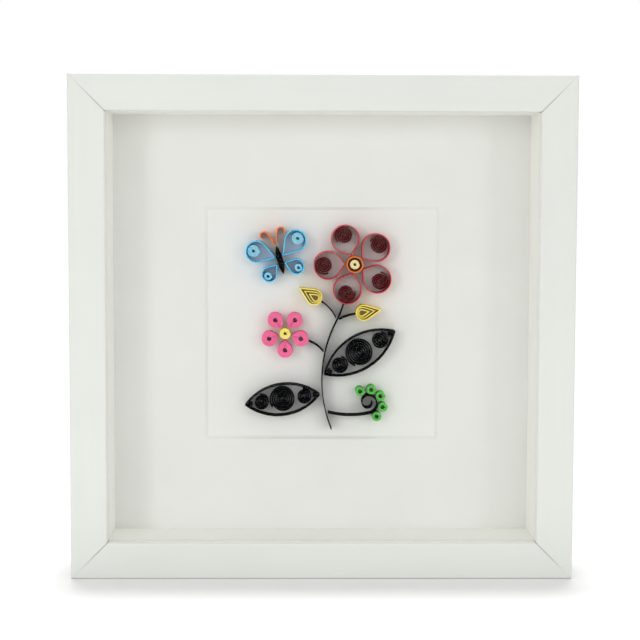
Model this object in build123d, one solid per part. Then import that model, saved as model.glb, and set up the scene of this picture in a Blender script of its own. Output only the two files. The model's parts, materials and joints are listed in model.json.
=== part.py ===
from build123d import *
import os
from math import acos, asin, ceil, copysign, cos, degrees, radians, sin, sqrt

# A deep white box frame with a quilled paper picture behind its glazing.
# Millimetres: X to the right, Y from the front to the back, Z up from the foot of the frame.

# Rails of the frame
frame_side = 250.0  # outer width and height
frame_depth = 45.0
rail_face = 18.0  # width of a rail, seen from the front
rail_wall = 9.0  # thickness of a rail behind its front lip
lip_thickness = 6.0
edge_round = 0.8  # front edges of the rails
mitre_gap = 0.05  # open line at each mitred corner
rear_recess = 4.5  # from the back edges of the rails to the back panel

# Sheets and spacers that lie behind the lip
sheet_clearance = 1.0  # between the edge of a sheet and the rail
glazing_thickness = 1.2
mat_thickness = 1.5
card_thickness = 0.5
panel_thickness = 2.5
window_border = 4.5  # bare card between the picture and the mat
bevel_angle = 45.0  # cut of the mat's window

# Metal tabs that hold the back panel
tab_width = 8.0
tab_thickness = 0.5
tab_grip = 5.0  # length pushed into the rail
tab_overlap = 9.0  # length that lies on the back panel
tab_tip = 3.0  # width of the end that is driven in
tab_taper = 3.0  # length of that end's taper
tab_clip = 1.6  # cut corners of the free end
tab_spacing = 120.0  # between the two tabs of one rail
metal_fit = 0.05  # clearance round metal that is pushed into wood

# Corner wedges that pull the mitres together
wedge_leg = 3.2
wedge_thickness = 0.6
wedge_depth = 8.0

# Sawtooth hanger on the back panel
hanger_width = 45.0
hanger_height = 9.0
hanger_thickness = 0.8
hanger_rise = 1.6  # standing clear of the panel, for a nail's head
hanger_foot = 8.0  # flat end with a prong under it
hanger_ramp = 2.0
hanger_drop = 34.0  # from the top edge of the panel to the hanger's centre
tooth_pitch = 3.0
tooth_depth = 2.2
prong_depth = 1.8  # length of the prongs that bite into the panel
prong_width = 4.0

# Quilling paper
paper = 0.5  # thickness of a strip
strip_width = 9.0  # height of outlines and stalks over the card
roll_width = 7.6  # height of rolls and coils over the card
glue_gap = 0.15  # between neighbouring papers
bend_sag = 0.055  # how far the chords of a bent paper lie inside its true curve
coil_core = 0.7  # radius where a loose coil starts
coil_pitch = 1.15  # between the turns of a loose coil
stalk_gap = 1.3  # from the middle of the stem to the end of what branches off it

# Stem: headings, turns and sweeps in degrees, left turns positive
stem_foot_x = 5.0  # from the middle of the picture
stem_foot_z = -54.0
stem_heading = 112.0
stem_length = 58.0
stem_radius = 67.0
stem_tip_radius = 43.0
stem_tip_sweep = 12.0
scroll_place = 9.4  # along the stem from its foot to where each piece branches off
left_leaf_place = 18.7
right_leaf_place = 28.0
blossom_place = 39.7

# Crimson bloom at the end of the stem
bloom_petals = 5
bloom_reach = 9.1  # from a petal's point to the middle of its round end
bloom_round = 7.3
bloom_fill = 0.72  # share of the room in a petal's round end that its coil takes
eye_band_radius = 4.5
eye_band_thickness = 1.0
eye_ring_thickness = 0.6
eye_hole = 0.6

# Pink blossom on its stalk
blossom_petals = 5
blossom_reach = 5.4
blossom_round = 4.1
blossom_petal_eye = 1.0
blossom_centre_radius = 3.0
blossom_centre_eye = 0.6
blossom_stalk_turn = 48.0  # heading away from the stem
blossom_stalk_radius = 15.0
blossom_stalk_sweep = 36.0

# Leaves
left_leaf_turn = 92.0  # away from the stem
left_leaf_length = 39.0
left_leaf_bulge = 8.2  # of each flank
right_leaf_turn = -56.0
right_leaf_length = 43.0
right_leaf_bulge = 8.9
leaf_fill = 0.9  # share of the room between the flanks that a coil takes

# Yellow buds at the end of the stem's long bend
bud_reach = 9.3
bud_round = 4.1
fan_drops = 2  # drops nested inside a bud's outline
fan_round_step = 1.1  # from one drop's round end to the next one's
fan_point_step = 2.5  # how much shorter each drop is than the one round it
left_bud_turn = 52.0
left_stalk_radius = 19.5
left_stalk_sweep = 34.0
right_bud_turn = -35.0
right_stalk_radius = 28.0
right_stalk_sweep = -18.0

# Green berries round a curled scroll
berry_count = 5
berry_radius = 2.6
berry_eye = 0.9
berry_gap = 0.6
first_berry = 24.0  # degrees on from where the scroll starts to curl
scroll_turn = -118.0
scroll_radius = 47.5
scroll_sweep = 26.0
curl_radius = 4.8  # of the scroll's first, widest curl
curl_shrink = 0.72  # from one curl to the next
curl_sweep = 150.0
curl_count = 3

# Blue butterfly
butterfly_left = 38.3  # from the middle of the bloom
butterfly_up = 2.2
butterfly_tilt = 16.0
body_length = 16.2
body_bulge = 1.6
forewing_angle = 33.0  # over a line across the body
forewing_reach = 10.2
forewing_round = 5.6
hindwing_angle = -36.0
hindwing_reach = 6.7
hindwing_round = 4.0
wing_spread = 1.7  # from the body's middle up or down to the root of a wing
wing_fill = 0.66  # share of the room in a wing's round end that its roll takes
wing_roll_eye = 0.6
antenna_radius = 17.3
antenna_sweep = 24.0
antenna_curl_radius = 1.8
antenna_curl_sweep = 200.0
antenna_lean = 6.0
antenna_spread = 0.7

# Places that follow from the sizes
half_side = frame_side / 2
front = -frame_depth / 2
back = frame_depth / 2
lip_back = front + lip_thickness
glazing_back = lip_back + glazing_thickness
panel_back = back - rear_recess
panel_front = panel_back - panel_thickness
card_front = panel_front - card_thickness
mat_front = card_front - mat_thickness
sheet_edge = rail_wall + sheet_clearance  # from the outside of the frame to a sheet's edge
sheet_side = frame_side - 2 * sheet_edge
middle = Location((0, 0, half_side))
stem_foot = Vector(stem_foot_x, stem_foot_z)
picture_plane = Plane(origin=(0, card_front, half_side), x_dir=(1, 0, 0), z_dir=(0, -1, 0))


# Frame

def quarter_turn(solid, turns):
    """Turns a piece of the foot of the frame to another side of it."""
    return middle * Rot(0, 90 * turns, 0) * middle.inverse() * solid


def mitred_bar(section):
    """A bar along the foot of the frame, with that section in Y and Z, cut to 45 degrees at both ends."""
    set_back = mitre_gap / sqrt(2)
    bar = extrude(Plane.YZ * section, amount=half_side, both=True)
    triangle = Polyline(
        (-half_side + set_back, 0), (half_side - set_back, 0), (0, half_side - set_back), close=True
    )
    return bar & extrude(Plane.XZ * make_face(triangle), amount=frame_depth, both=True)


def wedge_plan(clearance):
    """A V across the left mitre of the foot, in X and Z, with its point towards the corner."""
    half = wedge_thickness / 2 + clearance
    leg = wedge_leg + clearance
    outline = Polyline(
        (-half, -half), (leg, -half), (leg, half), (half, half), (half, leg), (-half, leg), close=True
    )
    return Pos(-half_side + rail_wall / 2, rail_wall / 2) * make_face(outline)


def wedge(clearance=0.0):
    """The steel wedge driven into the back of a mitre, or the slot that it makes."""
    plan = Plane.XZ * wedge_plan(clearance)
    return Pos(0, back, 0) * extrude(plan, amount=wedge_depth + clearance)


def tab_plan():
    """A tab in X and Z: tapered where it is driven into the foot rail, with cut corners on the panel."""
    half = tab_width / 2
    root = rail_wall - tab_grip
    end = sheet_edge + tab_overlap
    edge = [(tab_tip / 2, root), (half, root + tab_taper), (half, end - tab_clip), (half - tab_clip, end)]
    return make_face(Polyline(*edge, *[(-x, z) for x, z in reversed(edge)], close=True))


def tab(place, clearance=0.0):
    """A flat tab in the foot rail that lies on the back of the panel, or its slot."""
    plan = offset(tab_plan(), clearance, kind=Kind.INTERSECTION) if clearance else tab_plan()
    plate = extrude(Plane.XZ * plan, amount=tab_thickness / 2 + clearance, both=True)
    return Pos(place, panel_back + tab_thickness / 2, 0) * plate


def rail():
    """The foot rail: a front lip, a wall behind it, and the slots for tabs and corner wedges."""
    outline = Polyline(
        (front, 0), (front, rail_face), (lip_back, rail_face), (lip_back, rail_wall),
        (back, rail_wall), (back, 0), close=True,
    )
    section = make_face(outline)
    front_corners = section.vertices().group_by(Axis.X)[0]
    bar = mitred_bar(fillet(front_corners, edge_round))
    for side in (-1, 1):
        bar -= tab(side * tab_spacing / 2, metal_fit)
    slot = wedge(metal_fit)
    return bar - slot - mirror(slot, Plane.YZ)


def spacer():
    """A plain bar that keeps the glazing and the mat apart."""
    thickness = rail_face - sheet_edge
    depth = mat_front - glazing_back
    place = Pos((glazing_back + mat_front) / 2, sheet_edge + thickness / 2)
    return mitred_bar(place * Rectangle(depth, thickness))


def sheet(near, thickness):
    """A square sheet whose front face lies at that depth."""
    return Pos(0, near + thickness / 2, half_side) * Box(sheet_side, thickness, sheet_side)


def window_mat(window_side):
    """The mat: a sheet with a square window, bevelled so that it widens towards the front."""
    window = picture_plane * Rectangle(window_side, window_side)
    return sheet(mat_front, mat_thickness) - extrude(window, amount=mat_thickness, taper=-bevel_angle)


def prong(side, clearance=0.0):
    """The prong under one end of the hanger, bent into the panel, or its slot."""
    size = [hanger_thickness + 2 * clearance, prong_depth + clearance, prong_width + 2 * clearance]
    reach = (hanger_width - hanger_thickness) / 2
    place = Pos(side * reach, panel_back - size[1] / 2, frame_side - sheet_edge - hanger_drop)
    return place * Box(*size)


def back_panel():
    """A sheet with a slot for each prong of the hanger."""
    return sheet(panel_front, panel_thickness) - prong(-1, metal_fit) - prong(1, metal_fit)


def hanger():
    """A folded plate: flat feet with prongs, a raised middle, and teeth along its lower edge."""
    end = hanger_width / 2
    knee = end - hanger_foot
    crest = knee - hanger_ramp
    near = [(-end, 0), (-knee, 0), (-crest, hanger_rise), (crest, hanger_rise), (knee, 0), (end, 0)]
    far = [(x, y + hanger_thickness) for x, y in reversed(near)]
    section = make_face(Polyline(*near, *far, close=True))
    count = int(2 * crest // tooth_pitch)
    tooth = make_face(Polyline((0, 0), (tooth_pitch / 2, tooth_depth), (tooth_pitch, 0), close=True))
    cutter = extrude(Plane.XZ * tooth, amount=-2 * (hanger_rise + hanger_thickness))
    plate = extrude(section, amount=hanger_height / 2, both=True)
    for k in range(count):
        plate -= Pos((k - count / 2) * tooth_pitch, 0, -hanger_height / 2) * cutter
    plate = Pos(0, panel_back, frame_side - sheet_edge - hanger_drop) * plate
    return plate + prong(-1) + prong(1)


# Paper shapes, in plan

def compass(angle):
    return Vector(cos(radians(angle)), sin(radians(angle)))


def spun(point, centre, angle):
    return centre + (point - centre).rotate(Axis.Z, angle)


def bend(point, heading, radius, sweep):
    """Where an arc ends and where it heads there, with its centre."""
    centre = point + compass(heading + 90) * copysign(radius, sweep)
    return spun(point, centre, sweep), heading + sweep, centre


def chord_angle(radius):
    """Turn from one chord of a bend to the next."""
    return 2 * degrees(acos(1 - bend_sag / radius))


def arc(start, centre, sweep):
    """Points on a bend, close enough that its chords stay within the sag."""
    count = ceil(abs(sweep) / chord_angle((start - centre).length))
    return [spun(start, centre, sweep * k / count) for k in range(count + 1)]


def strip(spine):
    """A paper strip on edge, along points that each carry a heading."""
    left = [point + compass(heading + 90) * (paper / 2) for point, heading in spine]
    right = [point - compass(heading + 90) * (paper / 2) for point, heading in spine]
    return make_face(Polyline(*left, *reversed(right), close=True))


def ribbon(start, heading, runs):
    """A strip along arcs that run into one another, each given as radius and sweep."""
    spine = [(start, heading)]
    for radius, sweep in runs:
        first = spine[-1]
        points = arc(first[0], bend(*first, radius, sweep)[2], sweep)[1:]
        spine += [(point, first[1] + sweep * (k + 1) / len(points)) for k, point in enumerate(points)]
    return strip(spine)


def coil(radius):
    """A loose coil that fills a circle."""
    reach = radius - paper / 2
    spine = []
    angle, middle_radius = 0.0, coil_core
    while middle_radius < reach:
        spine.append((compass(angle) * middle_radius, angle + 90))
        angle += chord_angle(middle_radius)
        middle_radius = coil_core + coil_pitch * angle / 360
    return strip(spine)


def roll(radius, eye=0.0):
    """A tight roll, with the hole that a thicker winding tool leaves in its middle."""
    disc = make_face(Polyline(*arc(Vector(radius, 0), Vector(), 360)[:-1], close=True))
    return disc - roll(eye) if eye else disc


def teardrop(reach, round_radius):
    """A drop with its point at the origin and its round end along X."""
    turn = degrees(acos(round_radius / reach))  # at the middle of the round end, from the point to a flank
    touch = Vector(reach, 0) + compass(180 - turn) * round_radius
    return make_face(Polyline((0, 0), *arc(touch, Vector(reach, 0), 2 * turn - 360), close=True))


def marquise(length, bulge):
    """Two equal arcs from point to point along X."""
    radius = (length**2 / 4 + bulge**2) / (2 * bulge)
    half_sweep = degrees(asin(length / 2 / radius))
    upper = arc(Vector(0, 0), Vector(length / 2, bulge - radius), -2 * half_sweep)
    lower = [Vector(point.X, -point.Y) for point in reversed(upper[1:-1])]
    return make_face(Polyline(*upper, *lower, close=True))


def outline(face):
    """The strip that is bent round a shape."""
    return face - offset(face, amount=-paper)


def placed(point, angle=0.0):
    return Pos(point.X, point.Y) * Rot(0, 0, angle)


# Motifs, each a dictionary of node name to solids

def strips(*faces):
    """Outlines and stalks, standing on the card."""
    return [picture_plane.location * extrude(face, amount=strip_width, dir=(0, 0, 1)) for face in faces]


def rolls(*faces):
    """Rolls and coils, standing on the card a little lower than the outlines."""
    return [picture_plane.location * extrude(face, amount=roll_width, dir=(0, 0, 1)) for face in faces]


def petal_root(count, reach, round_radius, hub_radius):
    """How far from the middle the petals' points lie, so that petals clear the hub and one another."""
    abreast = (round_radius + glue_gap / 2) / sin(radians(180 / count))
    return max(hub_radius + glue_gap, abreast - reach)


def on_stem(length):
    """Where the stem is and where it heads, that far along its long bend."""
    return bend(stem_foot, stem_heading, stem_radius, -degrees(length / stem_radius))[:2]


def against_end(reach, round_radius, fill):
    """Place and radius of a coil that rests inside the round end of an outlined drop."""
    room = round_radius - paper - glue_gap
    return Pos(reach + room * (1 - fill), 0), room * fill


def bloom_middle(stem_end, heading):
    root = petal_root(bloom_petals, bloom_reach, bloom_round, eye_band_radius)
    return stem_end + compass(heading) * (root + bloom_reach + bloom_round + glue_gap)


def bloom(stem_end, heading):
    """Outlined petals round a banded eye, each petal with a loose coil against its round end."""
    root = petal_root(bloom_petals, bloom_reach, bloom_round, eye_band_radius)
    centre = bloom_middle(stem_end, heading)
    petal = outline(teardrop(bloom_reach, bloom_round))
    curl_place, curl_radius = against_end(bloom_reach, bloom_round, bloom_fill)
    curl = curl_place * coil(curl_radius)
    pieces = {}
    for k in range(bloom_petals):
        seat = placed(centre, heading + 180 + k * 360 / bloom_petals) * Pos(root, 0)
        pieces[f"bloom_petal_{k + 1}"] = strips(seat * petal)
        pieces[f"bloom_coil_{k + 1}"] = rolls(seat * curl)
    eye = placed(centre)
    band_inside = eye_band_radius - eye_band_thickness
    ring_radius = band_inside - glue_gap
    ring_inside = ring_radius - eye_ring_thickness
    pieces["bloom_eye_band"] = strips(eye * roll(eye_band_radius, band_inside))
    pieces["bloom_eye_ring"] = rolls(eye * roll(ring_radius, ring_inside))
    pieces["bloom_eye_roll"] = rolls(eye * roll(ring_inside - glue_gap, eye_hole))
    return pieces


def blossom(joint):
    """A stalk, and drop-shaped rolls round a centre roll."""
    point, heading = joint
    heading += blossom_stalk_turn
    start = point + compass(heading) * stalk_gap
    end, end_heading, _ = bend(start, heading, blossom_stalk_radius, blossom_stalk_sweep)
    root = petal_root(blossom_petals, blossom_reach, blossom_round, blossom_centre_radius)
    centre = end + compass(end_heading) * (root + blossom_reach + blossom_round + glue_gap)
    drop = teardrop(blossom_reach, blossom_round) - Pos(blossom_reach, 0) * roll(blossom_petal_eye)
    petal = Pos(root, 0) * drop
    turns = [end_heading + 180 + k * 360 / blossom_petals for k in range(blossom_petals)]
    return {
        "blossom_stalk": strips(ribbon(start, heading, [(blossom_stalk_radius, blossom_stalk_sweep)])),
        "blossom_petals": rolls(*[placed(centre, turn) * petal for turn in turns]),
        "blossom_centre": rolls(placed(centre) * roll(blossom_centre_radius, blossom_centre_eye)),
    }


def leaf(name, joint, turn, length, bulge):
    """An outlined leaf with loose coils along it and a tight roll towards each end."""
    point, heading = joint
    heading += turn
    seat = placed(point + compass(heading) * stalk_gap, heading)
    flank = (length**2 / 4 + bulge**2) / (2 * bulge)

    def room(place):
        clear = flank - sqrt((place - length / 2) ** 2 + (flank - bulge) ** 2)
        return (clear - paper - glue_gap) * leaf_fill

    def next_along(place, radius, side):
        next_radius = radius
        for _ in range(20):  # settles on the circle that just meets the one before it
            next_place = place + side * (radius + next_radius + glue_gap)
            next_radius = room(next_place)
        return next_place, next_radius

    belly = (length / 2, room(length / 2))
    coil_places = [belly]
    roll_places = []
    for side in (-1, 1):
        coil_places.append(next_along(*belly, side))
        roll_places.append(next_along(*coil_places[-1], side))
    return {
        f"{name}_outline": strips(seat * outline(marquise(length, bulge))),
        f"{name}_coils": rolls(*[seat * Pos(place, 0) * coil(radius) for place, radius in coil_places]),
        f"{name}_rolls": rolls(*[seat * Pos(place, 0) * roll(radius) for place, radius in roll_places]),
    }


def drop_fan(reach, round_radius):
    """Drops in one another, close together at their round ends and spread towards their points."""
    drops = []
    for k in range(1, fan_drops + 1):
        inner_reach = reach - k * fan_point_step
        inner_round = round_radius - k * fan_round_step
        far_end = reach + round_radius - k * (paper + glue_gap)
        seat = Pos(far_end - inner_round - inner_reach, 0)
        drops.append(seat * outline(teardrop(inner_reach, inner_round)))
    return drops


def bud(name, joint, turn, radius, sweep):
    """A stalk and an outlined drop with its round end on the stalk and a fan of turns in it."""
    point, heading = joint
    heading += turn
    start = point + compass(heading) * stalk_gap
    end, end_heading, _ = bend(start, heading, radius, sweep)
    tip = end + compass(end_heading) * (bud_reach + bud_round + glue_gap)
    seat = placed(tip, end_heading + 180)
    return {
        f"{name}_stalk": strips(ribbon(start, heading, [(radius, sweep)])),
        f"{name}_outline": strips(seat * outline(teardrop(bud_reach, bud_round))),
        f"{name}_coil": rolls(*[seat * drop for drop in drop_fan(bud_reach, bud_round)]),
    }


def berry_spray(joint):
    """A scroll that curls in on itself, with berries in a row round the outside of the curl."""
    point, heading = joint
    heading += scroll_turn
    start = point + compass(heading) * stalk_gap
    knee, knee_heading, _ = bend(start, heading, scroll_radius, scroll_sweep)
    hub = bend(knee, knee_heading, curl_radius, curl_sweep)[2]
    curls = [(curl_radius * curl_shrink**k, curl_sweep) for k in range(curl_count)]
    distance = curl_radius + paper / 2 + glue_gap + berry_radius
    step = 2 * degrees(asin((berry_radius + berry_gap / 2) / distance))
    angles = [knee_heading - 90 + first_berry + k * step for k in range(berry_count)]
    berry = roll(berry_radius, berry_eye)
    return {
        "berry_scroll": strips(ribbon(start, heading, [(scroll_radius, scroll_sweep), *curls])),
        "berries": rolls(*[placed(hub + compass(angle) * distance) * berry for angle in angles]),
    }


def butterfly(centre):
    """Outlined wings with a roll in each, a solid body and two curled feelers."""
    seat = placed(centre, butterfly_tilt)
    body = Rot(0, 0, 90) * Pos(-body_length / 2, 0) * marquise(body_length, body_bulge)
    pieces = {"butterfly_body": strips(seat * body)}
    hands = (("right", 1), ("left", -1))
    wings = (
        ("forewing", forewing_angle, forewing_reach, forewing_round, wing_spread),
        ("hindwing", hindwing_angle, hindwing_reach, hindwing_round, -wing_spread),
    )
    for name, angle, reach, round_radius, lift in wings:
        wing = outline(teardrop(reach, round_radius))
        spot_place, spot_radius = against_end(reach, round_radius, wing_fill)
        spot = spot_place * roll(spot_radius, wing_roll_eye)
        for hand, side in hands:
            turn = angle if side > 0 else 180 - angle
            root = seat * Pos(side * (body_bulge + glue_gap), lift) * Rot(0, 0, turn)
            pieces[f"{name}_{hand}"] = strips(root * wing)
            pieces[f"{name}_roll_{hand}"] = rolls(root * spot)
    for hand, side in hands:
        runs = [(antenna_radius, -side * antenna_sweep), (antenna_curl_radius, -side * antenna_curl_sweep)]
        start = Vector(side * antenna_spread, body_length / 2 + glue_gap)
        pieces[f"antenna_{hand}"] = strips(seat * ribbon(start, 90 - side * antenna_lean, runs))
    return pieces


def picture():
    """Every paper piece of the picture, by node name."""
    bud_joint = on_stem(stem_length)
    stem_runs = [(stem_radius, -degrees(stem_length / stem_radius)), (stem_tip_radius, stem_tip_sweep)]
    stem_end = bend(*bud_joint, stem_tip_radius, stem_tip_sweep)[:2]
    left_leaf = on_stem(left_leaf_place), left_leaf_turn, left_leaf_length, left_leaf_bulge
    right_leaf = on_stem(right_leaf_place), right_leaf_turn, right_leaf_length, right_leaf_bulge
    pieces = {"stem": strips(ribbon(stem_foot, stem_heading, stem_runs))}
    pieces |= berry_spray(on_stem(scroll_place))
    pieces |= leaf("left_leaf", *left_leaf)
    pieces |= leaf("right_leaf", *right_leaf)
    pieces |= blossom(on_stem(blossom_place))
    pieces |= bud("left_bud", bud_joint, left_bud_turn, left_stalk_radius, left_stalk_sweep)
    pieces |= bud("right_bud", bud_joint, right_bud_turn, right_stalk_radius, right_stalk_sweep)
    pieces |= bloom(*stem_end)
    return pieces | butterfly(bloom_middle(*stem_end) + Vector(-butterfly_left, butterfly_up))


def window_for(pieces):
    """Side of the square window that leaves a border of bare card round the picture."""
    boxes = [solid.bounding_box() for solids in pieces.values() for solid in solids]
    reach_x = max(max(-box.min.X, box.max.X) for box in boxes)
    reach_z = max(max(half_side - box.min.Z, box.max.Z - half_side) for box in boxes)
    return 2 * (max(reach_x, reach_z) + window_border)


def box_frame(window_side):
    """Rails, sheets and fittings, by node name."""
    nodes = {}
    for turns, side in enumerate(("bottom", "left", "top", "right")):
        nodes[f"rail_{side}"] = [quarter_turn(rail(), turns)]
        nodes[f"spacer_{side}"] = [quarter_turn(spacer(), turns)]
    tabs = [tab(side * tab_spacing / 2) for side in (-1, 1)]
    nodes["front_glazing"] = [sheet(lip_back, glazing_thickness)]
    nodes["window_mat"] = [window_mat(window_side)]
    nodes["picture_card"] = [sheet(card_front, card_thickness)]
    nodes["back_panel"] = [back_panel()]
    nodes["retaining_tabs"] = [quarter_turn(piece, turns) for turns in range(4) for piece in tabs]
    nodes["corner_wedges"] = [quarter_turn(wedge(), turns) for turns in range(4)]
    nodes["sawtooth_hanger"] = [hanger()]
    return nodes


def main():
    papers = picture()
    nodes = box_frame(window_for(papers)) | papers
    os.makedirs("parts", exist_ok=True)
    for name, shapes in nodes.items():
        solids = [solid for shape in shapes for solid in shape.solids()]
        export_step(Compound(solids) if len(solids) > 1 else solids[0], f"parts/{name}.step")
    print(f"{len(nodes)} nodes, window {window_for(papers):.1f}")


main()
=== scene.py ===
import json
from math import cos, pi, radians, sin, sqrt

import bmesh
import bpy
from mathutils import Matrix, Vector


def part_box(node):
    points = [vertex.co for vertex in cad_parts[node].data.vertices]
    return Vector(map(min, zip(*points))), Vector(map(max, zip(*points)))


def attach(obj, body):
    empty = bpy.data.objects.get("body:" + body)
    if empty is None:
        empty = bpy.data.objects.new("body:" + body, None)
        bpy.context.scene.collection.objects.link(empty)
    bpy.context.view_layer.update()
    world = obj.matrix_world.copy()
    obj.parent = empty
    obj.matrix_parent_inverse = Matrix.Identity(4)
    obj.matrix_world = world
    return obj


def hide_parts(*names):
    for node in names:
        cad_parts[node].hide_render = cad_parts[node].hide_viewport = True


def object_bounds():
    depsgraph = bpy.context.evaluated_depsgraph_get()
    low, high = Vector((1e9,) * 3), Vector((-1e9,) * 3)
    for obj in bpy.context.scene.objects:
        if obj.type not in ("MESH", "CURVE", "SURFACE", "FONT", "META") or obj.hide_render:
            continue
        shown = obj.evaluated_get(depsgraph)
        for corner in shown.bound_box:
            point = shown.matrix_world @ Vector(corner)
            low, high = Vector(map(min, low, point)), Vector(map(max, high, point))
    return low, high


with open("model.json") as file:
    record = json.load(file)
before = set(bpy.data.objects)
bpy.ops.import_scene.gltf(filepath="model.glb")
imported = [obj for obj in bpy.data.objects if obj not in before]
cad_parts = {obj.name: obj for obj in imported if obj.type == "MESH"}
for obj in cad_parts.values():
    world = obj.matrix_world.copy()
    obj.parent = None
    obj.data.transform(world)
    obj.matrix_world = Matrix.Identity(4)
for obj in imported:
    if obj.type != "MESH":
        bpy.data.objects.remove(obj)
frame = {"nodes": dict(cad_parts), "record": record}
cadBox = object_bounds()  # the solids alone
nodes = frame["nodes"]
slotOf = {part["node"]: part["material_slot"] for part in frame["record"]["subparts"]}
mm = 0.001
half = (cadBox[1].z - cadBox[0].z) / 2  # height of the picture's middle
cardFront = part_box("picture_card")[0].y
print(f"frame: {len(nodes)} solids")


# Wiring: sockets that add up like numbers, and one way to make any other node

class Wire:
    def __init__(self, tree, socket=None):
        self.tree = tree
        self.socket = socket

    def node(self, kind, settings=None, links=None, out=0):
        made = self.tree.nodes.new(kind)
        for name, value in (settings or {}).items():
            setattr(made, name, value)
        for name, value in (links or {}).items():
            if isinstance(value, Wire):
                self.tree.links.new(value.socket, made.inputs[name])
            else:
                made.inputs[name].default_value = value
        return Wire(self.tree, made.outputs[out] if made.outputs else None)

    def out(self, name):
        return Wire(self.tree, self.socket.node.outputs[name])

    def maths(self, operation, first, second=0.0):
        return self.node("ShaderNodeMath", {"operation": operation}, {0: first, 1: second})

    def ramp(self, low, high):  # 0 below low, 1 above high, eased between
        ends = {"Value": self, "From Min": low, "From Max": high}
        return self.node("ShaderNodeMapRange", {"interpolation_type": "SMOOTHSTEP"}, ends)

    def blend(self, first, second):  # two colours, by this value
        return self.node("ShaderNodeMix", {"data_type": "RGBA"}, {0: self, 6: first, 7: second}, out=2)

    def largest(self, other):
        return self.maths("MAXIMUM", self, other)

    def __abs__(self):
        return self.maths("ABSOLUTE", self)

    def __add__(self, other):
        return self.maths("ADD", self, other)

    def __radd__(self, other):
        return self.maths("ADD", other, self)

    def __sub__(self, other):
        return self.maths("SUBTRACT", self, other)

    def __rsub__(self, other):
        return self.maths("SUBTRACT", other, self)

    def __mul__(self, other):
        return self.maths("MULTIPLY", self, other)

    def __rmul__(self, other):
        return self.maths("MULTIPLY", other, self)

    def __truediv__(self, other):
        return self.maths("DIVIDE", self, other)

    def __pow__(self, other):
        return self.maths("POWER", self, other)


def tone(red, green, blue):  # screen colour, 0 to 255
    def linear(level):
        level /= 255
        return level / 12.92 if level < 0.04045 else ((level + 0.055) / 1.055) ** 2.4
    return linear(red), linear(green), linear(blue), 1.0


def shade(colour, factor):
    return *[min(1.0, level * factor) for level in colour[:3]], 1.0


def newMaterial(name):
    material = bpy.data.materials.new(name)
    material.use_nodes = True
    material.node_tree.nodes.clear()
    return material, Wire(material.node_tree)


def closeMaterial(paint, values):
    shader = paint.node("ShaderNodeBsdfPrincipled", links=values)
    paint.node("ShaderNodeOutputMaterial", links={"Surface": shader})


def objectPlace(paint):
    return paint.node("ShaderNodeTexCoord", out="Object")


def stretched(paint, place, scale):  # a pattern's place, drawn out along the axes
    return paint.node("ShaderNodeMapping", links={"Vector": place, "Scale": scale})


def noise(paint, place, size, detail=3.0, roughness=0.55):
    links = {"Vector": place, "Scale": 1 / size, "Detail": detail, "Roughness": roughness}
    return paint.node("ShaderNodeTexNoise", links=links)


def bump(paint, height, depth):
    return paint.node("ShaderNodeBump", links={"Height": height, "Distance": depth, "Strength": 1.0})


def mottled(pattern, colour, look):  # duller and brighter patches of one colour
    patches = pattern.ramp(*look["patches"])
    return patches.blend(shade(colour, look["dull"]), shade(colour, look["bright"]))


def dress(name, material):  # a solid that stays gets its finish
    shown = nodes[name].data
    shown.materials.clear()
    shown.materials.append(material)


# Finishes of the box

boxSides = ("bottom", "top", "left", "right")
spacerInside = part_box("spacer_right")[0].x


def alongSide(side, share):  # a pattern's scale, drawn out along one side of the box
    return (share, 1, 1) if side in ("bottom", "top") else (1, 1, share)


lacquer = {
    "colour": tone(216, 218, 213), "patches": (0.25, 0.75), "dull": 0.975, "bright": 1.015,
    "stroke": 3 * mm, "strokeScale": 0.04, "strokeShare": 0.35, "drift": 60 * mm,
    "rough": 0.42, "driftRough": 0.08, "strokeRough": 0.04,
    "peel": 1.6 * mm, "peelDepth": 0.012 * mm, "strokeDepth": 0.3,  # strokes beside the peel
    "lipInsidePaintedLight": tone(240, 240, 235), "lipEdge": (0.01 * mm, 0.08 * mm),  # painted light: a paler white on the lip's inner face that lifts the shade there, and where it ends
    "crease": tone(120, 121, 116), "seam": (0.036 * mm, 0.36 * mm), "seamShade": 0.7,
    "seamFades": (0.75, 0.2),  # shares of the rail's face, from its outer edge
}


def lacquerFinish(side):
    material, paint = newMaterial(f"lacquer.{side}")
    place = objectPlace(paint)
    axes = paint.node("ShaderNodeSeparateXYZ", links={0: place})
    across = abs(axes.out("X"))
    upright = abs(axes.out("Z") - half)
    fromMiddle = across.largest(upright)
    seam = 1 - (abs(across - upright) / sqrt(2)).ramp(*lacquer["seam"])
    fades = [half - share * (half - spacerInside) for share in lacquer["seamFades"]]
    towardsWindow = 1 - fromMiddle.ramp(*fades)
    strokePlace = stretched(paint, place, alongSide(side, lacquer["strokeScale"]))
    strokes = noise(paint, strokePlace, lacquer["stroke"], 2.0)
    drift = noise(paint, place, lacquer["drift"], 2.0)
    cloudy = strokes * lacquer["strokeShare"] + drift * (1 - lacquer["strokeShare"])
    outside = fromMiddle.ramp(*[spacerInside + edge for edge in lacquer["lipEdge"]])
    # the lip's inner face gets painted light, a paler white that lifts the shade inside the lip
    clean = outside.blend(lacquer["lipInsidePaintedLight"], mottled(cloudy, lacquer["colour"], lacquer))
    colour = (seam * towardsWindow * lacquer["seamShade"]).blend(clean, lacquer["crease"])
    peel = noise(paint, place, lacquer["peel"], 1.0)
    closeMaterial(paint, {
        "Base Color": colour,
        "Roughness": lacquer["rough"] + lacquer["driftRough"] * drift - lacquer["strokeRough"] * strokes,
        "Normal": bump(paint, peel + lacquer["strokeDepth"] * strokes, lacquer["peelDepth"]),
    })
    return material


for side in boxSides:
    dress(f"rail_{side}", lacquerFinish(side))

spacerWhite = {
    "colour": tone(249, 249, 244), "dull": 0.965, "bright": 1.02, "rough": 0.62,
    "grain": 0.9 * mm, "grainScale": 0.1, "grainDepth": 0.02 * mm, "grainRough": 0.1,
}


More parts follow.
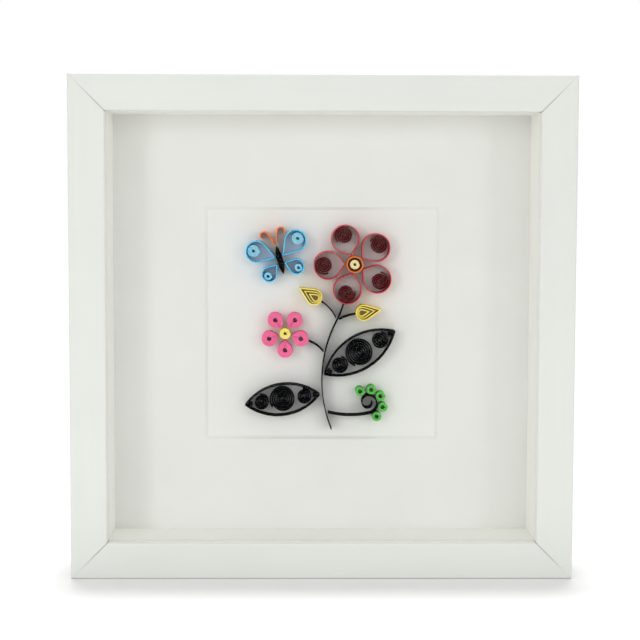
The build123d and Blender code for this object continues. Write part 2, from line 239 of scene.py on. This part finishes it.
def spacerFinish(side):
    material, paint = newMaterial(f"spacerWhite.{side}")
    grainPlace = stretched(paint, objectPlace(paint), alongSide(side, spacerWhite["grainScale"]))
    grain = noise(paint, grainPlace, spacerWhite["grain"], 4.0)
    white = spacerWhite["colour"]
    closeMaterial(paint, {
        "Base Color": grain.blend(shade(white, spacerWhite["dull"]), shade(white, spacerWhite["bright"])),
        "Roughness": spacerWhite["rough"] + spacerWhite["grainRough"] * grain,
        "Normal": bump(paint, grain, spacerWhite["grainDepth"]),
    })
    return material


for side in boxSides:
    dress(f"spacer_{side}", spacerFinish(side))

glass = {
    "tint": (0.996, 0.998, 0.995, 1.0), "rough": 0.015,
    "mirror": 0.002, "slantPower": 5,  # share that a face mirrors square on, and how late it grows at a slant
    "smear": 0.03, "smearSize": 45 * mm, "smearPatches": (0.45, 0.8),
}


def glassFinish():
    material, paint = newMaterial("glass")
    smear = noise(paint, objectPlace(paint), glass["smearSize"], 3.0).ramp(*glass["smearPatches"])
    through = paint.node("ShaderNodeBsdfTransparent", links={"Color": glass["tint"]})
    sheen = paint.node("ShaderNodeBsdfPrincipled", links={
        "Base Color": (1, 1, 1, 1), "Metallic": 1.0, "Roughness": glass["rough"] + glass["smear"] * smear,
    })
    slant = paint.node("ShaderNodeLayerWeight", links={"Blend": 0.5}, out="Facing")  # alike on both faces
    mirrored = glass["mirror"] + (1 - glass["mirror"]) * slant ** glass["slantPower"]
    pane = paint.node("ShaderNodeMixShader", links={0: mirrored, 1: through, 2: sheen})
    paint.node("ShaderNodeOutputMaterial", links={"Surface": pane})
    return material


dress("front_glazing", glassFinish())

board = {
    "mat": tone(222, 222, 219), "core": tone(229, 229, 225), "card": tone(224, 224, 221),
    "patches": (0.3, 0.7), "dull": 0.978, "bright": 1.012,
    "fibre": 0.7 * mm, "fibreDepth": 0.018 * mm, "cloud": 28 * mm,
    "rough": 0.82, "fibreRough": 0.1, "gloss": 0.25, "cutEdge": 0.1 * mm, "flush": 0.01 * mm,
}


def boardFinish(name, colour, windowFront=0.0):
    material, paint = newMaterial(name)
    place = objectPlace(paint)
    fibre = noise(paint, place, board["fibre"], 5.0, 0.65)
    cloud = noise(paint, place, board["cloud"], 2.0)
    face = mottled(0.5 * fibre + 0.5 * cloud, colour, board)
    if windowFront:  # the cut shows the board's paler core
        axes = paint.node("ShaderNodeSeparateXYZ", links={0: place})
        reach = abs(axes.out("X")).largest(abs(axes.out("Z") - half))
        face = reach.ramp(windowFront - board["cutEdge"], windowFront).blend(board["core"], face)
    closeMaterial(paint, {
        "Base Color": face,
        "Roughness": board["rough"] + board["fibreRough"] * fibre,
        "Normal": bump(paint, fibre, board["fibreDepth"]),
        "Specular IOR Level": board["gloss"],
    })
    return material


def windowEdge():  # half the window at the mat's front face
    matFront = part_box("window_mat")[0].y
    corners = [v.co for v in nodes["window_mat"].data.vertices if v.co.y < matFront + board["flush"]]
    return min(max(abs(co.x), abs(co.z - half)) for co in corners)


dress("window_mat", boardFinish("matBoard", board["mat"], windowEdge()))
dress("picture_card", boardFinish("whiteCard", board["card"]))

fibreboard = {
    "pale": tone(178, 140, 98), "dark": tone(122, 89, 58), "patches": (0.28, 0.72),
    "fibre": 1.1 * mm, "fibreScale": 0.45, "fibreShare": 0.78, "cloud": 40 * mm,
    "fleck": tone(82, 57, 36), "fleckSize": 2.4 * mm, "fleckScale": 0.3, "fleckPatches": (0.66, 0.74),
    "fleckShade": 0.6, "fleckDepth": 0.4, "depth": 0.05 * mm,
    "rough": 0.68, "fibreRough": 0.2, "gloss": 0.3,
}


def fibreboardFinish():
    material, paint = newMaterial("fibreboard")
    place = objectPlace(paint)
    fibrePlace = stretched(paint, place, (1, 1, fibreboard["fibreScale"]))
    fibre = noise(paint, fibrePlace, fibreboard["fibre"], 6.0, 0.7)
    cloud = noise(paint, place, fibreboard["cloud"], 3.0)
    fleckPlace = stretched(paint, place, (1, 1, fibreboard["fleckScale"]))
    fleck = noise(paint, fleckPlace, fibreboard["fleckSize"], 2.0).ramp(*fibreboard["fleckPatches"])
    cloudy = fibreboard["fibreShare"] * fibre + (1 - fibreboard["fibreShare"]) * cloud
    ground = cloudy.ramp(*fibreboard["patches"]).blend(fibreboard["dark"], fibreboard["pale"])
    closeMaterial(paint, {
        "Base Color": (fibreboard["fleckShade"] * fleck).blend(ground, fibreboard["fleck"]),
        "Roughness": fibreboard["rough"] + fibreboard["fibreRough"] * fibre,
        "Normal": bump(paint, fibre + fibreboard["fleckDepth"] * fleck, fibreboard["depth"]),
        "Specular IOR Level": fibreboard["gloss"],
    })
    return material


dress("back_panel", fibreboardFinish())

steels = {  # "along" is the scale that draws the rolling marks out
    "retaining_tabs": {
        "name": "tabSteel", "colour": (0.32, 0.32, 0.31, 1), "rough": 0.3, "along": (1, 1, 0.05),
    },
    "corner_wedges": {
        "name": "wedgeSteel", "colour": (0.26, 0.26, 0.25, 1), "rough": 0.4, "along": (1, 0.05, 1),
    },
    "sawtooth_hanger": {
        "name": "hangerSteel", "colour": (0.5, 0.4, 0.21, 1), "rough": 0.26, "along": (0.05, 1, 1),
    },
}
steelWear = {
    "mark": 0.35 * mm, "markDepth": 0.01 * mm, "markShade": 0.25, "markRough": 0.14,
    "stain": 5 * mm, "stainPatches": (0.5, 0.75), "stainShade": 0.45, "stainRough": 0.2, "dark": 0.45,
}


def steelFinish(look):
    material, paint = newMaterial(look["name"])
    place = objectPlace(paint)
    marks = noise(paint, stretched(paint, place, look["along"]), steelWear["mark"], 3.0)
    stain = noise(paint, place, steelWear["stain"], 4.0).ramp(*steelWear["stainPatches"])
    worn = steelWear["stainShade"] * stain + steelWear["markShade"] * marks
    closeMaterial(paint, {
        "Base Color": worn.blend(look["colour"], shade(look["colour"], steelWear["dark"])),
        "Metallic": 1.0,
        "Roughness": look["rough"] + steelWear["markRough"] * marks + steelWear["stainRough"] * stain,
        "Normal": bump(paint, marks, steelWear["markDepth"]),
    })
    return material


for name, look in steels.items():
    dress(name, steelFinish(look))
print("box finished")


# Quilling papers

papers = {  # "edge" where the painted highlight on the cut edge has a colour of its own
    "crimson_paper": {"colour": tone(190, 74, 80), "glow": 0.85},
    "dark_red_paper": {"colour": tone(100, 28, 30), "glow": 0.1},
    "orange_paper": {"colour": tone(236, 122, 56), "glow": 0.6},
    "cream_paper": {"colour": tone(246, 230, 172), "glow": 0.3},
    "black_paper": {"colour": tone(9, 11, 13), "glow": 0.0},
    "pink_paper": {"colour": tone(236, 108, 152), "glow": 0.3},
    # the yellow strips' cut edge gets a pale yellow painted highlight
    "yellow_paper": {"colour": tone(255, 218, 78), "glow": 0.2, "edge": tone(255, 252, 150)},
    "green_paper": {"colour": tone(94, 184, 84), "glow": 0.3},
    "blue_paper": {"colour": tone(84, 190, 246), "glow": 0.85},
    "pale_blue_paper": {"colour": tone(146, 208, 234), "glow": 0.3},
}
paperGrain = {
    "fibre": 0.5 * mm, "drawnOut": 5.0, "fibreShare": 0.6, "cloud": 9 * mm, "depth": 0.02 * mm,
    "acrossScale": 12 * mm,  # the length that the share across a strip stands for
    "patches": (0.25, 0.75), "dull": 0.86, "bright": 1.1,
    "cut": (0.985, 0.998),  # where the painted highlight on the front edge starts, in shares of the strip's width
    "cutShare": 0.5, "cutBright": 1.25,
    "rough": 0.78, "fibreRough": 0.14, "gloss": 0.05, "glowDepth": 0.7 * mm,
}


def paperFinish(slot):
    colour = papers[slot]["colour"]
    material, paint = newMaterial(slot)
    along = paint.node("ShaderNodeAttribute", {"attribute_name": "along"}, out="Fac")
    across = paint.node("ShaderNodeAttribute", {"attribute_name": "across"}, out="Fac")
    onStrip = {0: along / paperGrain["drawnOut"], 1: across * paperGrain["acrossScale"]}
    fibre = noise(paint, paint.node("ShaderNodeCombineXYZ", links=onStrip), paperGrain["fibre"], 4.0, 0.65)
    cloud = noise(paint, objectPlace(paint), paperGrain["cloud"], 2.0)
    cloudy = paperGrain["fibreShare"] * fibre + (1 - paperGrain["fibreShare"]) * cloud
    # the front cut edge is painted lighter: a painted highlight where the edge catches the light
    cut = across.ramp(*paperGrain["cut"])
    edge = papers[slot].get("edge", shade(colour, paperGrain["cutBright"]))
    closeMaterial(paint, {
        "Base Color": (paperGrain["cutShare"] * cut).blend(mottled(cloudy, colour, paperGrain), edge),
        "Roughness": paperGrain["rough"] + paperGrain["fibreRough"] * fibre,
        "Normal": bump(paint, fibre, paperGrain["depth"]),
        "Specular IOR Level": paperGrain["gloss"],
        "Subsurface Weight": papers[slot]["glow"],  # light that comes through thin paper
        "Subsurface Radius": (1, 1, 1),
        "Subsurface Scale": paperGrain["glowDepth"],
    })
    return material


paperMaterials = {slot: paperFinish(slot) for slot in papers}

strip = {
    "Paper Thickness": 0.5 * mm, "Edge Round": 0.07 * mm, "Smooth Steps": 3,
    "Ripple": 0.14 * mm, "Ripple Length": 7 * mm, "Lean": 0.05 * mm, "Lean Size": 16 * mm,
}
turn = {  # the paper of a tight roll, wound turn on turn
    "Paper Thickness": 0.36 * mm, "Edge Round": 0.06 * mm, "Smooth Steps": 2,
    "Ripple": 0.16 * mm, "Ripple Length": 3.5 * mm, "Lean": 0.03 * mm, "Lean Size": 16 * mm,
}
winding = {"pitch": 0.42 * mm, "steps": 24, "tightest": 0.6}  # points a turn, first radius in papers
handWork = {"seedStep": 7.31, "crest": 0.62, "swayUp": 0.6, "crispFrom": radians(28)}


def stripTree():
    tree = bpy.data.node_groups.new("paperStrip", "GeometryNodeTree")
    face = tree.interface
    face.new_socket("Geometry", in_out="INPUT", socket_type="NodeSocketGeometry")
    face.new_socket("Geometry", in_out="OUTPUT", socket_type="NodeSocketGeometry")
    paperSizes = ("Paper Thickness", "Edge Round", "Ripple", "Ripple Length", "Lean", "Lean Size")
    for name in (*paperSizes, "Strip Width", "Card Front", "Middle"):
        face.new_socket(name, in_out="INPUT", socket_type="NodeSocketFloat")
    for name in ("Smooth Steps", "Seed"):
        face.new_socket(name, in_out="INPUT", socket_type="NodeSocketInt")
    face.new_socket("Paper", in_out="INPUT", socket_type="NodeSocketMaterial")
    net = Wire(tree)
    given = net.node("NodeGroupInput")
    width = given.out("Strip Width")

    # the path, smooth again between its points
    path = net.node("GeometryNodeMeshToCurve", links={0: given})
    path = net.node("GeometryNodeCurveSplineType", {"spline_type": "CATMULL_ROM"}, {0: path})
    finer = {0: path, "Resolution": given.out("Smooth Steps")}
    path = net.node("GeometryNodeSetSplineResolution", links=finer)
    path = net.node("GeometryNodeResampleCurve", {"mode": "EVALUATED"}, {0: path})
    path = net.node("GeometryNodeSetCurveNormal", {"mode": "Z_UP"}, {0: path})
    length = net.node("GeometryNodeSplineParameter", out="Length")
    path = net.node("GeometryNodeStoreNamedAttribute", links={0: path, "Name": "along", "Value": length})

    # the paper's section, foot at the card
    sizes = {"Width": given.out("Paper Thickness"), "Height": width}
    section = net.node("GeometryNodeCurvePrimitiveQuadrilateral", links=sizes)
    corner = {0: section, "Radius": given.out("Edge Round"), "Count": 1}
    section = net.node("GeometryNodeFilletCurve", {"mode": "POLY"}, corner)
    foot = net.node("ShaderNodeCombineXYZ", links={1: width * -0.5})
    section = net.node("GeometryNodeTransform", links={0: section, "Translation": foot})
    spot = net.node("ShaderNodeSeparateXYZ", links={0: net.node("GeometryNodeInputPosition")})
    share = {0: section, "Name": "across", "Value": -1 * spot.out("Y") / width}
    section = net.node("GeometryNodeStoreNamedAttribute", links=share)
    paper = net.node("GeometryNodeCurveToMesh", links={0: path, 1: section, "Fill Caps": True})

    # hand work: the top edge wanders and the strip leans a little
    along = net.node("GeometryNodeInputNamedAttribute", {"data_type": "FLOAT"}, {"Name": "along"})
    across = net.node("GeometryNodeInputNamedAttribute", {"data_type": "FLOAT"}, {"Name": "across"})
    seed = given.out("Seed") * handWork["seedStep"]
    wave = net.node("ShaderNodeCombineXYZ", links={0: along / given.out("Ripple Length"), 1: seed})
    rise = net.node("ShaderNodeTexNoise", links={"Vector": wave, "Scale": 1.0, "Detail": 2.0})
    flat = net.node("ShaderNodeCombineXYZ", links={
        0: spot.out("X") / given.out("Lean Size"), 1: spot.out("Y") / given.out("Lean Size"), 2: seed,
    })
    sway = net.node("ShaderNodeTexNoise", links={"Vector": flat, "Scale": 1.0, "Detail": 1.0})
    swayX = (sway - 0.5) * given.out("Lean") * across
    rising = (rise - handWork["crest"]) * given.out("Ripple") * across
    move = net.node("ShaderNodeCombineXYZ", links={0: swayX, 1: swayX * handWork["swayUp"], 2: rising})
    paper = net.node("GeometryNodeSetPosition", links={0: paper, "Offset": move})

    # smooth along the strip, crisp at its cut edges
    bent = net.node("GeometryNodeInputMeshEdgeAngle")
    crisp = net.node("FunctionNodeCompare", {"operation": "LESS_THAN"}, {0: bent, 1: handWork["crispFrom"]})
    paper = net.node("GeometryNodeSetShadeSmooth", {"domain": "EDGE"}, {0: paper, "Shade Smooth": crisp})
    stood = net.node("ShaderNodeCombineXYZ", links={1: given.out("Card Front"), 2: given.out("Middle")})
    upright = {0: paper, "Translation": stood, "Rotation": (pi / 2, 0, 0)}
    paper = net.node("GeometryNodeTransform", links=upright)
    paper = net.node("GeometryNodeRealizeInstances", links={0: paper})
    paper = net.node("GeometryNodeSetMaterial", links={0: paper, "Material": given.out("Paper")})
    net.node("NodeGroupOutput", links={0: paper})
    return tree


def runTree(tree, name, paths, values):
    shape = bpy.data.meshes.new(name)
    points, edges = [], []
    for path, closed in paths:
        first = len(points)
        points += [(spot.x, spot.y, 0) for spot in path]
        edges += [(first + k, first + k + 1) for k in range(len(path) - 1)]
        if closed:
            edges.append((len(points) - 1, first))
    shape.from_pydata(points, edges, [])
    piece = bpy.data.objects.new(name, shape)
    bpy.context.scene.collection.objects.link(piece)
    modifier = piece.modifiers.new(name, "NODES")
    modifier.node_group = tree
    sockets = {item.name: item.identifier for item in tree.interface.items_tree if item.in_out == "INPUT"}
    for key, value in values.items():
        modifier[sockets[key]] = value
    seen = bpy.context.evaluated_depsgraph_get()
    made = bpy.data.meshes.new_from_object(piece.evaluated_get(seen))
    piece.modifiers.remove(modifier)
    piece.data = made
    return piece


# Paths of the papers, read from the front edges of their solids

pathRules = {
    "same": 0.001 * mm, "facing": 0.99, "fold": radians(35), "sharpest": 0.4, "step": 1.2 * mm,
    "parallel": 1e-12, "slack": 1e-6,
}


def frontLoops(name):
    solid = bmesh.new()
    solid.from_mesh(nodes[name].data)
    bmesh.ops.remove_doubles(solid, verts=solid.verts, dist=pathRules["same"])
    front = {face for face in solid.faces if face.normal.y < -pathRules["facing"]}
    following = {}
    for face in front:
        for corner in face.loops:
            if sum(other in front for other in corner.edge.link_faces) == 1:
                following[corner.vert] = corner.link_loop_next.vert
    loops = []
    while following:
        vert, after = following.popitem()
        loop = [vert]
        while after is not loop[0]:
            loop.append(after)
            after = following.pop(after)
        points = [Vector((v.co.x, v.co.z - half)) for v in loop]
        first = points.index(min(points, key=tuple))  # a loop always starts at the same corner
        loops.append(points[first:] + points[:first])
    solid.free()
    return sorted(loops, key=lambda loop: tuple(loop[0]))


def area(loop):
    return sum(a.cross(b) for a, b in zip(loop, loop[1:] + loop[:1])) / 2


def middle(loop):
    return sum(loop, Vector((0, 0))) / len(loop)


def spine(loop):  # the middle line of a strip, whose two flanks lie one paper apart
    count = len(loop)

    def spread(first):
        gaps = [(loop[(first + k) % count] - loop[first - 1 - k]).length for k in range(count // 2)]
        return max(gaps) - min(gaps)

    first = min(range(count), key=spread)
    return [(loop[(first + k) % count] + loop[first - 1 - k]) / 2 for k in range(count // 2)]


def inset(loop, distance):  # a closed strip's middle line, with each fold's point doubled to keep it sharp
    path = []
    for before, here, after in zip(loop[-1:] + loop[:-1], loop, loop[1:] + loop[:1]):
        arrive = (here - before).normalized()
        leave = (after - here).normalized()
        inwards = Vector((-arrive.y - leave.y, arrive.x + leave.x)).normalized()
        slant = max(pathRules["sharpest"], inwards.dot(Vector((-arrive.y, arrive.x))))
        point = here + inwards * distance / slant
        path += [point, point] if arrive.angle(leave) > pathRules["fold"] else [point]
    return path


def dense(path):  # straight flanks get points too
    full = []
    for here, after in zip(path, path[1:] + path[:1]):
        parts = max(1, round((after - here).length / pathRules["step"]))
        full += [here.lerp(after, k / parts) for k in range(parts)]
    return full


def reach(loop, hub, angle):  # from a point inside a loop to its edge
    ray = Vector((cos(angle), sin(angle)))
    for a, b in zip(loop, loop[1:] + loop[:1]):
        side = b - a
        turned = ray.cross(side)
        if abs(turned) > pathRules["parallel"]:
            far = (a - hub).cross(side) / turned
            share = (a - hub).cross(ray) / turned
            if far > 0 and -pathRules["slack"] <= share <= 1 + pathRules["slack"]:
                return far
    return 0.0


def wound(rim, eye):  # turn after turn from the eye out to the rim
    hub = middle(eye or rim)
    thickness = turn["Paper Thickness"]
    core = (eye[0] - hub).length + thickness / 2 if eye else winding["tightest"] * thickness
    room = sum((point - hub).length for point in rim) / len(rim) - thickness / 2 - core
    steps = max(1, round(room / winding["pitch"])) * winding["steps"]
    path = []
    for k in range(steps + 1):
        angle = 2 * pi * k / winding["steps"]
        far = reach(rim, hub, angle) - thickness / 2
        path.append(hub + Vector((cos(angle), sin(angle))) * (core + (far - core) * k / steps))
    return path


def paperPaths(name, kind):
    loops = frontLoops(name)
    rims = [loop for loop in loops if area(loop) > 0]
    eyes = [loop for loop in loops if area(loop) < 0]
    if kind == "open":
        return [(spine(rim), False) for rim in rims]
    if kind == "closed":
        return [(dense(inset(rim, strip["Paper Thickness"] / 2)), True) for rim in rims]
    paths = []
    for rim in rims:
        inside = [eye for eye in eyes if (middle(eye) - middle(rim)).length < (rim[0] - middle(rim)).length]
        nearest = min(inside, key=lambda eye: (middle(eye) - middle(rim)).length, default=None)
        paths.append((wound(rim, nearest), False))
    return paths


sides = ("right", "left")
petals = range(1, 6)
quilling = {
    "open": ["stem", "berry_scroll", "blossom_stalk"]
    + [f"{side}_bud_stalk" for side in sides]
    + [f"{side}_leaf_coils" for side in sides] + [f"antenna_{side}" for side in sides]
    + [f"bloom_coil_{k}" for k in petals],
    "closed": [f"bloom_petal_{k}" for k in petals]
    + [f"{side}_leaf_outline" for side in sides]
    + [f"{side}_bud_{part}" for side in sides for part in ("outline", "coil")]
    + [f"{wing}_{side}" for wing in ("forewing", "hindwing") for side in sides],
    "wound": ["berries", "blossom_petals", "blossom_centre", "butterfly_body"]
    + ["bloom_eye_band", "bloom_eye_ring", "bloom_eye_roll"] + [f"{side}_leaf_rolls" for side in sides]
    + [f"{wing}_roll_{side}" for wing in ("forewing", "hindwing") for side in sides],
}

paperStrip = stripTree()
seed = 0
for kind, names in quilling.items():
    for name in names:
        seed += 1
        values = dict(turn if kind == "wound" else strip)
        values["Strip Width"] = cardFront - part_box(name)[0].y
        values["Card Front"] = cardFront
        values["Middle"] = half
        values["Seed"] = seed
        values["Paper"] = paperMaterials[slotOf[name]]
        piece = runTree(paperStrip, f"paper.{name}", paperPaths(name, kind), values)
        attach(piece, "root")
        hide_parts(name)
    print(f"papers, {kind}: {len(names)} pieces")


# Studio

studio = {
    "ambient": {"ahead": 0.565, "aside": 0.25},  # brighter at the sides than before the frame
    "left": {"azimuth": -32, "elevation": 9, "distance": 0.95, "size": (0.17, 0.4), "power": 1.33},
    "right": {"azimuth": 36, "elevation": 9, "distance": 1.1, "size": (0.17, 0.4), "power": 1.02},
    "front": {"azimuth": 0, "elevation": 9, "distance": 1.4, "size": (1.2, 0.8), "power": 4.05},
    "low": {"azimuth": 0, "elevation": -45, "distance": 0.156, "size": (0.4, 0.02), "power": 0.03},
    "overhead": {"tilt": 8.2, "softness": 9.5, "strength": 1.65},
    "floor": {"side": 12.0, "seen": (0.845, 0.845, 0.84, 1), "bounce": (0.6, 0.6, 0.59, 1)},
}


def softbox(name, look):
    lamp = bpy.data.lights.new(name, "AREA")
    lamp.shape = "RECTANGLE"
    lamp.size, lamp.size_y = look["size"]
    lamp.energy = look["power"]
    azimuth, elevation = radians(look["azimuth"]), radians(look["elevation"])
    away = Vector((sin(azimuth) * cos(elevation), -cos(azimuth) * cos(elevation), sin(elevation)))
    box = bpy.data.objects.new(name, lamp)
    box.location = Vector((0, 0, half)) + away * look["distance"]
    box.rotation_euler = away.to_track_quat("Z", "Y").to_euler()
    box.visible_glossy = False  # it lights the frame, but isn't mirrored in the glazing
    bpy.context.scene.collection.objects.link(box)


def overhead(look):
    lamp = bpy.data.lights.new("overhead", "SUN")
    lamp.energy = look["strength"]
    lamp.angle = radians(look["softness"])
    high = bpy.data.objects.new("overhead", lamp)
    high.rotation_euler = (-radians(look["tilt"]), 0, 0)  # from a little behind the frame
    bpy.context.scene.collection.objects.link(high)


def seenDirectly(net):  # what the camera sees, also in glass and metal
    rays = net.node("ShaderNodeLightPath")
    direct = rays.out("Is Camera Ray").largest(rays.out("Is Glossy Ray"))
    return direct.largest(rays.out("Is Transmission Ray"))


def whiteRoom():
    world = bpy.data.worlds.new("whiteRoom")
    bpy.context.scene.world = world
    world.use_nodes = True
    world.node_tree.nodes.clear()
    net = Wire(world.node_tree)
    look = studio["ambient"]
    outwards = net.node("ShaderNodeTexCoord", out="Generated")
    direction = net.node("ShaderNodeSeparateXYZ", links={0: outwards})
    glow = look["ahead"] + look["aside"] * (1 - abs(direction.out("Y")))
    strength = glow + (1 - glow) * seenDirectly(net)
    sky = net.node("ShaderNodeBackground", links={"Color": (1, 1, 1, 1), "Strength": strength})
    net.node("ShaderNodeOutputWorld", links={"Surface": sky})


def paleFloor(look):
    material, paint = newMaterial("paleFloor")
    bright = paint.node("ShaderNodeBsdfDiffuse", links={"Color": look["seen"]})
    dull = paint.node("ShaderNodeBsdfDiffuse", links={"Color": look["bounce"]})
    both = paint.node("ShaderNodeMixShader", links={0: seenDirectly(paint), 1: dull, 2: bright})
    paint.node("ShaderNodeOutputMaterial", links={"Surface": both})
    edge = look["side"] / 2
    shape = bpy.data.meshes.new("floor")
    corners = [(-edge, -edge, 0), (edge, -edge, 0), (edge, edge, 0), (-edge, edge, 0)]
    shape.from_pydata(corners, [], [(0, 1, 2, 3)])
    shape.materials.append(material)
    floor = bpy.data.objects.new("floor", shape)
    bpy.context.scene.collection.objects.link(floor)


camera = {
    "target": (-1.07 * mm, 0.0, 127.95 * mm), "distance": 800.85 * mm,
    "yaw": 0.826, "pitch": 4.353, "roll": 0.179,  # degrees
    "focal": 1578.3, "imageSide": 640,  # pixels
    "sensor": 36.0,
}


def placeCamera():
    yaw, pitch, roll = (radians(camera[name]) for name in ("yaw", "pitch", "roll"))
    ahead = Vector((sin(yaw) * cos(pitch), cos(yaw) * cos(pitch), -sin(pitch)))
    level = Vector((cos(yaw), -sin(yaw), 0))
    right = cos(roll) * level + sin(roll) * level.cross(ahead)
    lens = bpy.data.cameras.new("camera")
    lens.sensor_width = camera["sensor"]
    lens.lens = camera["focal"] / camera["imageSide"] * camera["sensor"]
    view = bpy.data.objects.new("camera", lens)
    turned = Matrix((right, right.cross(ahead), -ahead)).transposed()
    place = Vector(camera["target"]) - ahead * camera["distance"]
    view.matrix_world = Matrix.Translation(place) @ turned.to_4x4()
    bpy.context.scene.collection.objects.link(view)
    bpy.context.scene.camera = view


softbox("leftSoftbox", studio["left"])
softbox("rightSoftbox", studio["right"])
softbox("frontSoftbox", studio["front"])
softbox("lowReflector", studio["low"])  # light from the table, on the inner walls
overhead(studio["overhead"])
whiteRoom()
paleFloor(studio["floor"])
placeCamera()
bpy.context.scene.view_settings.view_transform = "Standard"
print("studio set")
